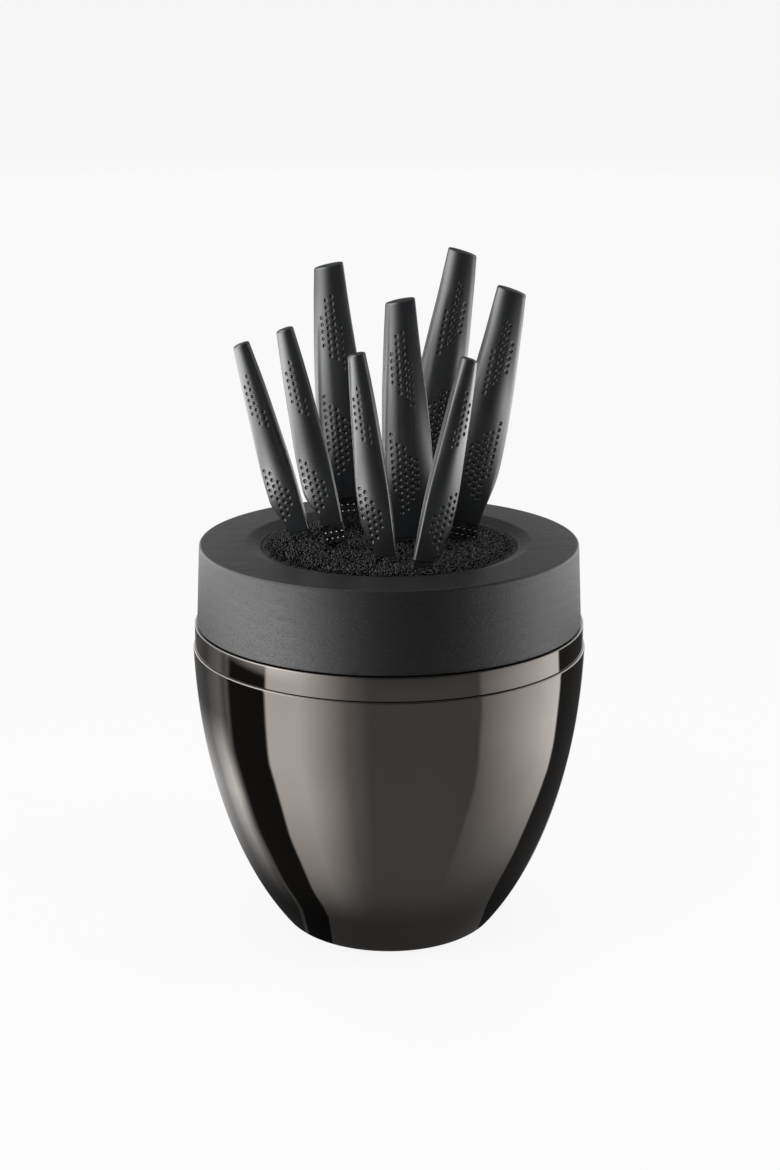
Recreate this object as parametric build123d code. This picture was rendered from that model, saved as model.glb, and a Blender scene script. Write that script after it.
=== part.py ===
from build123d import *
import math
import os

# Knife block with eight knives. Millimetres, +Z up, origin at the centre of the base.
# The side in view faces -Y, with +X to its right.

# Block, from the worktop upwards
block_height = 219.5
foot_radius = 44.0
foot_thickness = 1.2

# Egg-shaped steel bowl: an ellipse turned about Z, cut flat at the base and at the rim
bowl_radius = 107.5
bowl_base_radius = 57.0
bowl_centre_above_rim = 10.0
bowl_wall = 1.5
bowl_base_round = 9.0
bowl_rim_round = 0.6

# Steel collar that nests in the bowl's mouth and carries the wooden ring
collar_height = 12.8
collar_step = 1.0
collar_wall = 2.5
collar_skirt_depth = 10.0
collar_flange_width = 16.0
collar_flange_thickness = 2.0
collar_edge_round = 0.4
collar_clearance = 0.35

# Wooden top ring
ring_side_height = 44.2
ring_step = 1.4
ring_taper = 2.0
ring_spigot_depth = 5.8
ring_spigot_clearance = 0.4
ring_shadow_gap = 0.3
ring_edge_round = 1.4
ring_dish_width = 7.5
ring_dish_depth = 2.5
ring_dish_round = 6.0

# Screws through the collar's flange into the ring
screw_count = 6
screw_diameter = 4.0
screw_grip = 18.0
screw_head_diameter = 8.0
screw_head_height = 2.4
screw_clearance = 0.25

# Lift-out cup that holds the bristles
cup_radius = 67.5
cup_wall = 1.5
cup_floor_thickness = 1.5
cup_bowl_gap = 1.6
cup_bottom_round = 2.0
cup_lip_height = 6.0
cup_lip_width = 1.8
cup_lip_drop = 0.3
cup_clearance = 0.4

# Bristles: square strands standing on a backing disc
backing_thickness = 3.0
backing_clearance = 0.4
strand_side = 2.4
strand_pitch = 5.5
strand_root = 1.0
strand_below_top = 1.5
strand_gap = 0.5
grip_gap = 0.35

# Handle details shared by both handle sizes
handle_spine_facet = 4.6
neck_thickness = 4.8
neck_facet = 3.2
neck_length = 6.0
neck_round = 12.0
butt_slant = 7.0
butt_round = 1.0

# Tang and its slot in the handle
tang_width = 7.0
tang_length = 62.0
tang_clearance = 0.15

# Blade details
edge_thickness = 0.4
grind_share = 0.3
heel_drop = 2.0
bolster_gap = 1.0
bolster_least = 6.0
dimple_radius = 0.8
dimple_depth = 0.25
dimple_pitch = 3.3
dimple_margin = 1.2
dimple_levels = (3.4, 6.9)
scallop_pitch = 8.0
scallop_depth = 1.6


class HandleSize:
    def __init__(self, length, butt, spine, belly, upper, neck, shoulder, thickness):
        self.length = length
        self.butt = butt
        self.spine = spine
        self.belly = belly
        self.upper = upper
        self.neck = neck
        self.shoulder = shoulder
        self.thickness = thickness


# Butt is half its width, spine and belly are the reach each way from the handle's axis, upper slims the half
# nearer the butt, neck is the width at the steel, and shoulder is how far the belly takes to reach the neck
large = HandleSize(length=130.0, butt=7.9, spine=12.0, belly=15.0,
                   upper=1.0, neck=22.5, shoulder=17.0, thickness=14.0)
small = HandleSize(length=108.0, butt=4.6, spine=8.6, belly=9.4,
                   upper=0.95, neck=11.8, shoulder=10.5, thickness=11.0)


class Knife:
    def __init__(self, name, size, place, bearing, lean, shows, length, width, thickness, tip):
        self.name = name
        self.size = size
        self.x, self.y = place
        self.bearing = bearing
        self.lean = lean
        self.shows = shows
        self.length = length
        self.width = width
        self.thickness = thickness
        self.tip = tip


# Place is where the axis meets the bristles' tops, bearing is the way the spine faces,
# lean tips the butt towards the edge side, and shows is the steel left above the bristles
knives = [
    Knife("utility", small, place=(-51.0, 14.0), bearing=-12.0, lean=15.8, shows=2.0,
          length=120.0, width=18.0, thickness=1.8, tip="point"),
    Knife("vegetable", small, place=(-30.1, -13.0), bearing=-8.0, lean=12.0, shows=13.0,
          length=130.0, width=31.0, thickness=1.8, tip="sheep"),
    Knife("bread", large, place=(-19.2, 32.0), bearing=0.0, lean=5.3, shows=18.0,
          length=200.0, width=31.0, thickness=2.2, tip="serrated"),
    Knife("paring", small, place=(-3.7, -37.7), bearing=-16.0, lean=7.2, shows=2.0,
          length=90.0, width=18.0, thickness=1.8, tip="point"),
    Knife("santoku", large, place=(14.5, 2.6), bearing=0.0, lean=3.8, shows=2.5,
          length=175.0, width=44.0, thickness=2.2, tip="sheep"),
    Knife("carving", large, place=(12.6, 41.3), bearing=180.0, lean=10.2, shows=26.0,
          length=200.0, width=30.0, thickness=2.2, tip="point"),
    Knife("trimming", small, place=(19.7, -49.5), bearing=203.0, lean=12.4, shows=2.0,
          length=110.0, width=18.0, thickness=1.8, tip="point"),
    Knife("chef", large, place=(36.8, 11.5), bearing=180.0, lean=11.9, shows=9.5,
          length=195.0, width=36.5, thickness=2.2, tip="point"),
]

# Levels and radii worked out from the sizes above
rim_level = block_height - ring_side_height - collar_height
collar_top = rim_level + collar_height
ring_seat = collar_top - ring_spigot_depth
flange_bottom = ring_seat - collar_flange_thickness
egg_centre = rim_level + bowl_centre_above_rim
bowl_half_height = (egg_centre - foot_thickness) / math.sqrt(1.0 - (bowl_base_radius / bowl_radius) ** 2)
cup_inner_radius = cup_radius - cup_wall
cup_lip_radius = cup_radius + cup_lip_width
cup_top = block_height - ring_dish_depth - cup_lip_drop
cup_ledge = cup_top - cup_lip_height
bristle_top = block_height - strand_below_top

on_floor = (Align.CENTER, Align.CENTER, Align.MIN)


# Radius of the egg at a level, for its outer skin or one that lies inset inside it
def egg_radius(level, inset):
    share = (egg_centre - level) / (bowl_half_height - inset)
    return (bowl_radius - inset) * math.sqrt(1.0 - share * share)


# Level at which the egg has a radius, for its outer skin or one that lies inset inside it
def egg_level(radius, inset):
    share = radius / (bowl_radius - inset)
    return egg_centre - (bowl_half_height - inset) * math.sqrt(1.0 - share * share)


collar_radius = egg_radius(rim_level, 0.0) - collar_step
collar_inner_radius = collar_radius - collar_wall
skirt_radius = egg_radius(rim_level - collar_skirt_depth, bowl_wall) - collar_clearance
flange_radius = collar_inner_radius - collar_flange_width
screw_circle = collar_inner_radius - collar_flange_width / 2
ring_bottom_radius = collar_radius - ring_step
ring_top_radius = ring_bottom_radius - ring_taper
cup_bottom = egg_level(cup_radius + cup_bowl_gap, bowl_wall)
backing_bottom = cup_bottom + cup_floor_thickness
backing_top = backing_bottom + backing_thickness


def turned(points):
    outline = Polyline(*[(radius, 0.0, level) for radius, level in points], close=True)
    return revolve(make_face(outline), Axis.Z)


def circles(shape, radius, level):
    found = shape.edges().filter_by(GeomType.CIRCLE)
    return [e for e in found if abs(e.radius - radius) < 0.01 and abs(e.arc_center.Z - level) < 0.01]


def egg(inset, bottom, top, base_round):
    oval = Plane.XZ * Pos(0, egg_centre) * Ellipse(bowl_radius - inset, bowl_half_height - inset)
    window = Plane.XZ * Pos(bowl_radius / 2, (bottom + top) / 2) * Rectangle(bowl_radius, top - bottom)
    solid = revolve(oval & window, Axis.Z)
    return fillet(circles(solid, egg_radius(bottom, inset), bottom), base_round)


def make_bowl():
    outer = egg(0.0, foot_thickness, rim_level, bowl_base_round)
    inner = egg(bowl_wall, foot_thickness + bowl_wall, rim_level, bowl_base_round - bowl_wall)
    shell = outer - inner
    return fillet(circles(shell, egg_radius(rim_level, 0.0), rim_level), bowl_rim_round)


def make_foot():
    return Cylinder(foot_radius, foot_thickness, align=on_floor)


def screw_places(level):
    return [Pos(0, 0, level) * spot for spot in PolarLocations(screw_circle, screw_count)]


def make_collar():
    collar = turned([
        (collar_inner_radius, rim_level - collar_skirt_depth),
        (skirt_radius, rim_level - collar_skirt_depth),
        (skirt_radius, rim_level),
        (collar_radius, rim_level),
        (collar_radius, collar_top),
        (collar_inner_radius, collar_top),
        (collar_inner_radius, ring_seat),
        (flange_radius, ring_seat),
        (flange_radius, flange_bottom),
        (collar_inner_radius, flange_bottom),
    ])
    edges = circles(collar, collar_radius, rim_level) + circles(collar, collar_radius, collar_top)
    collar = fillet(edges, collar_edge_round)
    hole = Cylinder(screw_diameter / 2 + screw_clearance, 3 * collar_flange_thickness)
    return collar - [spot * hole for spot in screw_places(ring_seat)]


# Cross-head screws that stand upside down, with their heads under the flange
def make_screws():
    head = Cylinder(screw_head_diameter / 2, screw_head_height, align=on_floor)
    head = fillet(head.edges().group_by(Axis.Z)[0], screw_head_height / 3)
    shank_length = screw_grip + collar_flange_thickness
    shank = Cylinder(screw_diameter / 2, shank_length, align=on_floor)
    shank = chamfer(shank.edges().group_by(Axis.Z)[-1], screw_diameter / 3)
    screw = head + Pos(0, 0, screw_head_height) * shank
    slot_length = screw_head_diameter / 2
    slot_width = screw_diameter / 4
    for turn in (0, 90):
        screw -= Rot(0, 0, turn) * Box(slot_length, slot_width, screw_head_height)
    return Compound([spot * screw for spot in screw_places(flange_bottom - screw_head_height)])


def make_top_ring():
    spigot_radius = collar_inner_radius - ring_spigot_clearance
    bore = cup_radius + cup_clearance
    lip_bore = cup_lip_radius + cup_clearance
    dish_radius = lip_bore + ring_dish_width
    shoulder = collar_top + ring_shadow_gap
    ring = turned([
        (bore, ring_seat),
        (spigot_radius, ring_seat),
        (spigot_radius, shoulder),
        (ring_bottom_radius, shoulder),
        (ring_top_radius, block_height),
        (dish_radius, block_height),
        (lip_bore, block_height - ring_dish_depth),
        (lip_bore, cup_ledge),
        (bore, cup_ledge),
    ])
    ring = fillet(circles(ring, ring_top_radius, block_height), ring_edge_round)
    ring = fillet(circles(ring, dish_radius, block_height), ring_dish_round)
    pilot = Cylinder(screw_diameter / 2 + screw_clearance, screw_grip + screw_clearance, align=on_floor)
    return ring - [spot * pilot for spot in screw_places(ring_seat)]


def make_cup():
    cup = turned([
        (0, cup_bottom),
        (cup_radius, cup_bottom),
        (cup_radius, cup_ledge),
        (cup_lip_radius, cup_ledge),
        (cup_lip_radius, cup_top),
        (cup_inner_radius, cup_top),
        (cup_inner_radius, backing_bottom),
        (0, backing_bottom),
    ])
    return fillet(circles(cup, cup_radius, cup_bottom), cup_bottom_round)


# The way a knife's spine faces, seen from above
def spine_way(knife):
    angle = math.radians(knife.bearing)
    return Vector(math.cos(angle), math.sin(angle), 0)


# A blade stays in one upright plane while it is drawn, so its slot among the strands is that plane,
# from the edge at the heel to the spine at the tip
def slot_span(knife):
    drift = knife.length * math.sin(math.radians(knife.lean))
    return knife.size.spine - knife.width, knife.size.spine + drift


def in_slot(knife, x, y):
    way = spine_way(knife)
    along = (x - knife.x) * way.X + (y - knife.y) * way.Y
    across = (y - knife.y) * way.X - (x - knife.x) * way.Y
    room = grip_gap + strand_side / math.sqrt(2)
    low, high = slot_span(knife)
    return abs(across) < knife.thickness / 2 + room and low - room < along < high + room


def apart(x, y, spots):
    least = strand_side * math.sqrt(2) + strand_gap
    return all(math.hypot(x - spot[0], y - spot[1]) > least for spot in spots)


strand_reach = cup_inner_radius - backing_clearance - strand_side


# Strands that line both flats of each blade and hold it, turned to face it
def gripping_spots():
    spots = []
    for knife in knives:
        way = spine_way(knife)
        offset = knife.thickness / 2 + grip_gap + strand_side / 2
        low, high = slot_span(knife)
        others = [other for other in knives if other is not knife]
        for step in range(int((high - low) / strand_pitch) + 1):
            along = low + step * strand_pitch
            for across in (offset, -offset):
                x = knife.x + along * way.X - across * way.Y
                y = knife.y + along * way.Y + across * way.X
                clear = not any(in_slot(other, x, y) for other in others)
                if clear and math.hypot(x, y) < strand_reach and apart(x, y, spots):
                    spots.append((x, y, knife.bearing))
    return spots


# Staggered rows of strands that fill the rest of the cup
def filling_spots(gripping):
    row_step = strand_pitch * math.sqrt(3) / 2
    rows = int(strand_reach / row_step)
    columns = int(strand_reach / strand_pitch) + 1
    spots = []
    for row in range(-rows, rows + 1):
        shift = strand_pitch / 2 * (row % 2)
        for column in range(-columns, columns + 1):
            x = column * strand_pitch + shift
            y = row * row_step
            clear = not any(in_slot(knife, x, y) for knife in knives)
            if clear and math.hypot(x, y) < strand_reach and apart(x, y, gripping):
                spots.append((x, y, 0.0))
    return spots


def make_bristles():
    backing = Pos(0, 0, backing_bottom) * Cylinder(
        cup_inner_radius - backing_clearance, backing_thickness, align=on_floor
    )
    root = backing_top - strand_root
    strand = Box(strand_side, strand_side, bristle_top - root, align=on_floor)
    gripping = gripping_spots()
    spots = gripping + filling_spots(gripping)
    print("strands", len(spots), "of which", len(gripping), "grip a blade")
    return backing.fuse(*[Pos(x, y, root) * Rot(0, 0, turn) * strand for x, y, turn in spots])


# A knife's own frame: zero where the steel meets the handle, Z to the butt, X to the spine
def knife_frame(knife):
    lean = math.radians(knife.lean)
    way = spine_way(knife)
    up = Vector(0, 0, 1)
    axis = up * math.cos(lean) - way * math.sin(lean)
    across = way * math.cos(lean) + up * math.sin(lean)
    foot = Vector(knife.x, knife.y, bristle_top)
    return Plane(origin=foot + axis * knife.shows, x_dir=across, z_dir=axis)


# One cross-section of a handle: a flat spine, two bowed sides and a round belly
def handle_outline(level, spine, belly, thickness, facet):
    half = facet / 2
    nose = min(half, thickness / 3)
    start = nose - belly
    middle = (spine - belly) / 2
    flat = Line((spine, -half), (spine, half))
    side = ThreePointArc((spine, half), (middle, thickness / 2), (start, nose))
    belly_round = ThreePointArc((start, nose), (-belly, 0), (start, -nose))
    other_side = ThreePointArc((start, -nose), (middle, -thickness / 2), (spine, -half))
    return Pos(0, 0, level) * make_face(Wire([flat, side, belly_round, other_side]))


def make_handle(size, blade_thickness):
    facet = handle_spine_facet
    spine = size.upper * size.spine
    belly = size.upper * size.belly
    grip = loft([
        handle_outline(0.0, 0.96 * size.spine, 0.93 * size.belly, neck_thickness, neck_facet),
        handle_outline(0.16 * size.length, 0.99 * size.spine, 0.99 * size.belly, 0.66 * size.thickness, facet),
        handle_outline(0.32 * size.length, size.spine, size.belly, 0.88 * size.thickness, facet),
        handle_outline(0.55 * size.length, 0.93 * spine, 0.90 * belly, size.thickness, facet),
        handle_outline(0.80 * size.length, 0.76 * spine, 0.70 * belly, 0.92 * size.thickness, facet),
        handle_outline(size.length, size.butt, size.butt, 0.78 * size.thickness, 0.6 * size.butt),
    ])
    # The belly side steps in to the neck
    beyond = 2 * size.belly
    neck_side = size.spine - size.neck
    neck_cut = make_face(Polyline(
        (-beyond, -beyond), (neck_side, -beyond), (neck_side, neck_length),
        (-beyond, neck_length + size.shoulder * (beyond + neck_side) / (size.belly + neck_side)),
        close=True,
    ))
    corner = neck_cut.vertices().sort_by_distance((neck_side, neck_length))[0]
    neck_cut = fillet(corner, neck_round)
    grip -= extrude(Plane.XZ * neck_cut, size.thickness, both=True)
    # The butt slants down towards the belly
    slant_drop = size.butt * math.tan(math.radians(butt_slant))
    butt = Plane((0, 0, size.length - slant_drop)).rotated((0, -butt_slant, 0))
    grip = split(grip, butt, keep=Keep.BOTTOM)
    end = grip.faces().sort_by(Axis.Z)[-1]
    grip = fillet(end.edges(), butt_round)
    slot = Box(
        tang_width + 2 * tang_clearance,
        blade_thickness + 2 * tang_clearance,
        tang_length + tang_clearance,
        align=on_floor,
    )
    return grip - Pos(size.spine - size.neck / 2, 0, 0) * slot


# Side view of a blade, from the spine at the heel round the tip and back up the edge
def blade_outline(knife):
    spine = 0.94 * knife.size.spine
    edge = knife.size.spine - knife.width
    neck_side = knife.size.spine - knife.size.neck
    tip = -knife.length
    heel_round = min(knife.shows + heel_drop, neck_side - edge - heel_drop)
    heel_level = -heel_drop - heel_round
    heel = (neck_side - heel_round, heel_level)
    bend = heel_round * (1 - math.sqrt(0.5))
    if knife.tip == "sheep":
        turn = (spine, 0.72 * tip)
        end = (edge + 0.10 * knife.width, tip)
        nose = ThreePointArc(turn, (spine - 0.30 * knife.width, 0.93 * tip), end)
        back = ThreePointArc(end, (edge + 0.02 * knife.width, 0.85 * tip), (edge, 0.70 * tip))
    elif knife.tip == "serrated":
        turn = (spine, 0.88 * tip)
        end = (edge + 0.12 * knife.width, tip)
        nose = ThreePointArc(turn, (spine - 0.30 * knife.width, 0.97 * tip), end)
        back = Line(end, (edge, 0.97 * tip))
    else:
        turn = (spine, 0.60 * tip)
        end = (spine - 0.22 * knife.width, tip)
        nose = Line(turn, end)
        back = ThreePointArc(end, (edge + 0.26 * knife.width, 0.86 * tip), (edge, 0.62 * tip))
    return make_face(Wire([
        Line((neck_side, 0), (spine, 0)),
        Line((spine, 0), turn),
        nose,
        back,
        Line(back @ 1, (edge, heel_level - heel_drop)),
        Line((edge, heel_level - heel_drop), heel),
        ThreePointArc(heel, (neck_side - bend, heel_level + bend), (neck_side, -heel_drop)),
        Line((neck_side, -heel_drop), (neck_side, 0)),
    ]))


def make_blade(knife):
    size = knife.size
    half = knife.thickness / 2
    spine = size.spine
    edge = spine - knife.width
    neck_side = spine - size.neck
    tang_middle = spine - size.neck / 2
    plate = extrude(Plane.XZ * blade_outline(knife), half, both=True)
    # Both flats are ground to a thin edge
    ground = edge + (1 - grind_share) * knife.width
    thin = edge_thickness / 2
    grind = make_face(Polyline(
        (spine, -half), (spine, half), (ground, half), (edge, thin), (edge, -thin), (ground, -half), close=True
    ))
    plate &= extrude(Pos(0, 0, -knife.length) * grind, knife.length)
    if knife.tip == "serrated":
        radius = (scallop_pitch ** 2 / 4 + scallop_depth ** 2) / (2 * scallop_depth)
        scallop = Rot(90, 0, 0) * Cylinder(radius, 2 * knife.thickness)
        count = int(0.84 * knife.length / scallop_pitch)
        first = -0.96 * knife.length
        levels = [first + scallop_pitch * (step + 0.5) for step in range(count)]
        plate -= [Pos(edge - radius + scallop_depth, 0, level) * scallop for level in levels]
    # Where enough steel shows, a bolster thickens towards the handle
    reach = knife.shows - bolster_gap
    if reach > bolster_least:
        wide = neck_thickness / 2
        side = make_face(Polyline((-wide, 0), (wide, 0), (half, -reach), (-half, -reach), close=True))
        across = 0.94 * spine - neck_side
        plate += Pos(neck_side, 0, 0) * extrude(Plane.YZ * side, across)
        # Rows of shallow dimples lie on both of its faces
        span = across - 2 * dimple_margin
        columns = round(span / dimple_pitch)
        ball_radius = (dimple_radius ** 2 + dimple_depth ** 2) / (2 * dimple_depth)
        balls = []
        for level in dimple_levels:
            skin = wide - (wide - half) * level / reach
            for column in range(columns + 1):
                x = neck_side + dimple_margin + span * column / columns
                for face in (1, -1):
                    y = face * (skin + ball_radius - dimple_depth)
                    balls.append(Pos(x, y, -level) * Sphere(ball_radius))
        plate -= balls
    tang = Pos(tang_middle, 0, 0) * Box(tang_width, knife.thickness, tang_length, align=on_floor)
    return plate + tang


nodes = {
    "bowl": make_bowl(),
    "base_foot": make_foot(),
    "collar": make_collar(),
    "ring_screws": make_screws(),
    "top_ring": make_top_ring(),
    "bristle_cup": make_cup(),
    "bristles": make_bristles(),
}
for knife in knives:
    place = knife_frame(knife).location
    nodes[knife.name + "_handle"] = place * make_handle(knife.size, knife.thickness)
    nodes[knife.name + "_blade"] = place * make_blade(knife)

os.makedirs("parts", exist_ok=True)
for name, shape in nodes.items():
    shape.label = name
    export_step(shape, "parts/" + name + ".step")
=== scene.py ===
import bpy
import math
import numpy as np
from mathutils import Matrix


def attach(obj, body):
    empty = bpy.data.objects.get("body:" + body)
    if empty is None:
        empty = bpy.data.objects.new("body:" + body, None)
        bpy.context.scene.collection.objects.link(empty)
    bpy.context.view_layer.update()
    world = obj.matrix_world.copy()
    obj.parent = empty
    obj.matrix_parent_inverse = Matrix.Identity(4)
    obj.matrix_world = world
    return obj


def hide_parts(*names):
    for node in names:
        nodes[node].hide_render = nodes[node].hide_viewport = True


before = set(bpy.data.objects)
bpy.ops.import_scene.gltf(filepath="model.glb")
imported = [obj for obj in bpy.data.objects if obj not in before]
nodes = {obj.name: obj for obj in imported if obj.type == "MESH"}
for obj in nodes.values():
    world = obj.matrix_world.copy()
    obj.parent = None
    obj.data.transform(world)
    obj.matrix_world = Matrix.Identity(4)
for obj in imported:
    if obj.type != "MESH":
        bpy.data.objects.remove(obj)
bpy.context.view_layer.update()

# Knife block with eight knives. Sizes are in millimetres and become metres as a mesh is made.
mm = 0.001
tiny = 1e-6
random = np.random.default_rng(11)


# sRGB hex to linear red, green, blue and alpha
def hexToLinear(code):
    value = np.array([int(code[i:i + 2], 16) for i in (1, 3, 5)]) / 255
    linear = np.where(value <= 0.04045, value / 12.92, ((value + 0.055) / 1.055) ** 2.4)
    return (*linear.tolist(), 1.0)


# gives a node's inputs, by socket name or number, a value or another node's output
def setInputs(tree, node, inputs):
    for key, value in inputs.items():
        if isinstance(value, bpy.types.NodeSocket):
            tree.links.new(value, node.inputs[key])
        else:
            node.inputs[key].default_value = value


# adds one node with its settings, ramp stops and links, and returns its outputs
def addNode(tree, kind, inputs=None, stops=(), **settings):
    node = tree.nodes.new("ShaderNode" + kind)
    for key, value in settings.items():
        setattr(node, key, value)
    for number, (place, code) in enumerate(stops):
        stop = node.color_ramp.elements[number]
        stop.position, stop.color = place, hexToLinear(code)
    setInputs(tree, node, inputs or {})
    return node.outputs


# a new material, its node tree and its shader with these inputs
def startFinish(name, inputs):
    finish = bpy.data.materials.new(name)
    finish.use_nodes = True
    shader = finish.node_tree.nodes["Principled BSDF"]
    setInputs(finish.node_tree, shader, inputs)
    return finish, finish.node_tree, shader


# noise cells per metre that give features of this many millimetres
def perSize(size):
    return 1.0 / (size * mm)


# Stainless steel, spun, polished to a mirror and plated dark grey: a clear warm reflection,
# with faint polishing streaks round the axis that only spread the gloss a little
def makeGunmetal():
    finish, tree, shader = startFinish("gunmetal plated steel, mirror polished", {"Metallic": 1.0})
    place = addNode(tree, "TexCoord")["Object"]
    streak = addNode(tree, "Mapping", {"Vector": place, "Scale": (0.08, 0.08, 1.0)})[0]
    lines = addNode(tree, "TexNoise", {"Vector": streak, "Scale": perSize(1.5), "Detail": 3.0})["Fac"]
    gloss = addNode(tree, "MapRange", {"Value": lines, "To Min": 0.025, "To Max": 0.06})[0]
    cloud = addNode(tree, "TexNoise", {"Vector": place, "Scale": perSize(60), "Detail": 2.0})["Fac"]
    tone = addNode(tree, "ValToRGB", {"Fac": cloud}, stops=((0.3, "#6f6a66"), (0.7, "#75706c")))["Color"]
    setInputs(tree, shader, {"Base Color": tone, "Roughness": gloss})
    return finish


# Hardwood, turned, black stained and matt lacquered: fine grain along X, faint growth rings that
# show as arcs where the side cuts across them, and open pores as short sunken strokes
def makeStainedWood():
    finish, tree, shader = startFinish("hardwood, black stained, matt lacquer", {"IOR": 1.65})
    place = addNode(tree, "TexCoord")["Object"]
    warp = addNode(tree, "TexNoise", {"Vector": place, "Scale": perSize(70), "Detail": 2.0})["Color"]
    bend = addNode(tree, "VectorMath", {0: warp, 1: (0.012, 0.02, 0.02)}, operation="MULTIPLY")[0]
    bent = addNode(tree, "VectorMath", {0: place, 1: bend}, operation="ADD")[0]
    # growth rings lie round a pith that runs along X, below the ring and towards the front;
    # a wave of scale s repeats every pi / (10 s) metres
    pith = addNode(tree, "Mapping", {"Vector": bent, "Location": (0.0, 0.05, -0.11),
                                     "Scale": (0.12, 1.0, 1.0)})[0]
    rings = addNode(tree, "TexWave", {"Vector": pith, "Scale": perSize(6.5) * math.pi / 10,
                                      "Distortion": 2.5, "Detail": 2.0, "Detail Scale": 0.5},
                    wave_type="RINGS", rings_direction="X", wave_profile="SAW")["Fac"]
    along = addNode(tree, "Mapping", {"Vector": bent, "Scale": (0.035, 1.0, 1.0)})[0]
    fibre = addNode(tree, "TexNoise", {"Vector": along, "Scale": perSize(1.0), "Detail": 4.0,
                                       "Roughness": 0.6})["Fac"]
    streak = addNode(tree, "Math", {0: fibre, 1: 0.85}, operation="MULTIPLY")[0]
    grain = addNode(tree, "Math", {0: rings, 1: 0.15, 2: streak}, operation="MULTIPLY_ADD")[0]
    strokes = addNode(tree, "TexNoise", {"Vector": along, "Scale": perSize(0.7), "Detail": 1.0})["Fac"]
    pores = addNode(tree, "MapRange", {"Value": strokes, "From Min": 0.6, "From Max": 0.72})[0]
    tone = addNode(tree, "ValToRGB", {"Fac": grain}, stops=((0.25, "#0f0f10"), (0.75, "#212122")))["Color"]
    gloss = addNode(tree, "MapRange", {"Value": grain, "To Min": 0.56, "To Max": 0.36})[0]
    relief = addNode(tree, "Math", {0: grain, 1: pores}, operation="SUBTRACT")[0]
    bump = addNode(tree, "Bump", {"Height": relief, "Strength": 0.3, "Distance": 0.0003})[0]
    setInputs(tree, shader, {"Base Color": tone, "Roughness": gloss, "Normal": bump})
    return finish


# Glass-filled nylon, moulded with a fine spark texture: satin black, slightly cool. The texture is
# drawn coarser than a real one, and the IOR is higher, so that the handles show their highlights
def makeHandleNylon():
    finish, tree, shader = startFinish("nylon handle, moulded satin black", {"IOR": 2.0})
    place = addNode(tree, "TexCoord")["Object"]
    grit = addNode(tree, "TexNoise", {"Vector": place, "Scale": perSize(0.45), "Detail": 2.0})["Fac"]
    wear = addNode(tree, "TexNoise", {"Vector": place, "Scale": perSize(22), "Detail": 2.0})["Fac"]
    tone = addNode(tree, "ValToRGB", {"Fac": wear}, stops=((0.3, "#1f2022"), (0.7, "#252729")))["Color"]
    gloss = addNode(tree, "MapRange", {"Value": wear, "To Min": 0.24, "To Max": 0.32})[0]
    bump = addNode(tree, "Bump", {"Height": grit, "Strength": 0.08, "Distance": 0.0001})[0]
    setInputs(tree, shader, {"Base Color": tone, "Roughness": gloss, "Normal": bump})
    return finish


# Stainless blade steel, ground lengthwise and polished: grinding lines run up the blade, drawn
# coarser than real ones so that they show
def makeBladeSteel():
    finish, tree, shader = startFinish("stainless blade steel, satin ground", {"Metallic": 1.0})
    place = addNode(tree, "TexCoord")["Object"]
    along = addNode(tree, "Mapping", {"Vector": place, "Scale": (1.0, 1.0, 0.03)})[0]
    lines = addNode(tree, "TexNoise", {"Vector": along, "Scale": perSize(0.5), "Detail": 3.0})["Fac"]
    tone = addNode(tree, "ValToRGB", {"Fac": lines}, stops=((0, "#a9aaac"), (1, "#c9cacb")))["Color"]
    gloss = addNode(tree, "MapRange", {"Value": lines, "To Min": 0.07, "To Max": 0.16})[0]
    bump = addNode(tree, "Bump", {"Height": lines, "Strength": 0.1, "Distance": 0.0001})[0]
    setInputs(tree, shader, {"Base Color": tone, "Roughness": gloss, "Normal": bump})
    return finish


# Nylon monofilament, extruded: each strand is a shade lighter or darker, with a soft gloss
def makeBristleNylon():
    finish, tree, shader = startFinish("nylon bristle, extruded black", {"IOR": 1.5, "Roughness": 0.25})
    place = addNode(tree, "TexCoord")["Object"]
    column = addNode(tree, "Mapping", {"Vector": place, "Scale": (1.0, 1.0, 0.02)})[0]
    shade = addNode(tree, "TexNoise", {"Vector": column, "Scale": perSize(2.2), "Detail": 1.0})["Fac"]
    tone = addNode(tree, "ValToRGB", {"Fac": shade}, stops=((0.35, "#050506"), (0.65, "#18191a")))["Color"]
    setInputs(tree, shader, {"Base Color": tone})
    return finish


# Polypropylene cup, moulded matt black with a fine grain
def makeCupPlastic():
    finish, tree, shader = startFinish("polypropylene cup, moulded matt black", {"IOR": 1.49})
    place = addNode(tree, "TexCoord")["Object"]
    grain = addNode(tree, "TexNoise", {"Vector": place, "Scale": perSize(0.8), "Detail": 2.0})["Fac"]
    tone = addNode(tree, "ValToRGB", {"Fac": grain}, stops=((0, "#151516"), (1, "#1d1d1e")))["Color"]
    gloss = addNode(tree, "MapRange", {"Value": grain, "To Min": 0.5, "To Max": 0.62})[0]
    bump = addNode(tree, "Bump", {"Height": grain, "Strength": 0.12, "Distance": 0.0002})[0]
    setInputs(tree, shader, {"Base Color": tone, "Roughness": gloss, "Normal": bump})
    return finish


# Natural rubber pad, die cut from sheet: matt, with a faint cloth-like press grain
def makeFootRubber():
    finish, tree, shader = startFinish("rubber pad, die cut matt black", {"IOR": 1.52})
    place = addNode(tree, "TexCoord")["Object"]
    grain = addNode(tree, "TexVoronoi", {"Vector": place, "Scale": perSize(1.2)})["Distance"]
    tone = addNode(tree, "ValToRGB", {"Fac": grain}, stops=((0, "#1a1a1a"), (1, "#262626")))["Color"]
    gloss = addNode(tree, "MapRange", {"Value": grain, "To Min": 0.7, "To Max": 0.85})[0]
    bump = addNode(tree, "Bump", {"Height": grain, "Strength": 0.2, "Distance": 0.0002})[0]
    setInputs(tree, shader, {"Base Color": tone, "Roughness": gloss, "Normal": bump})
    return finish


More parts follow.
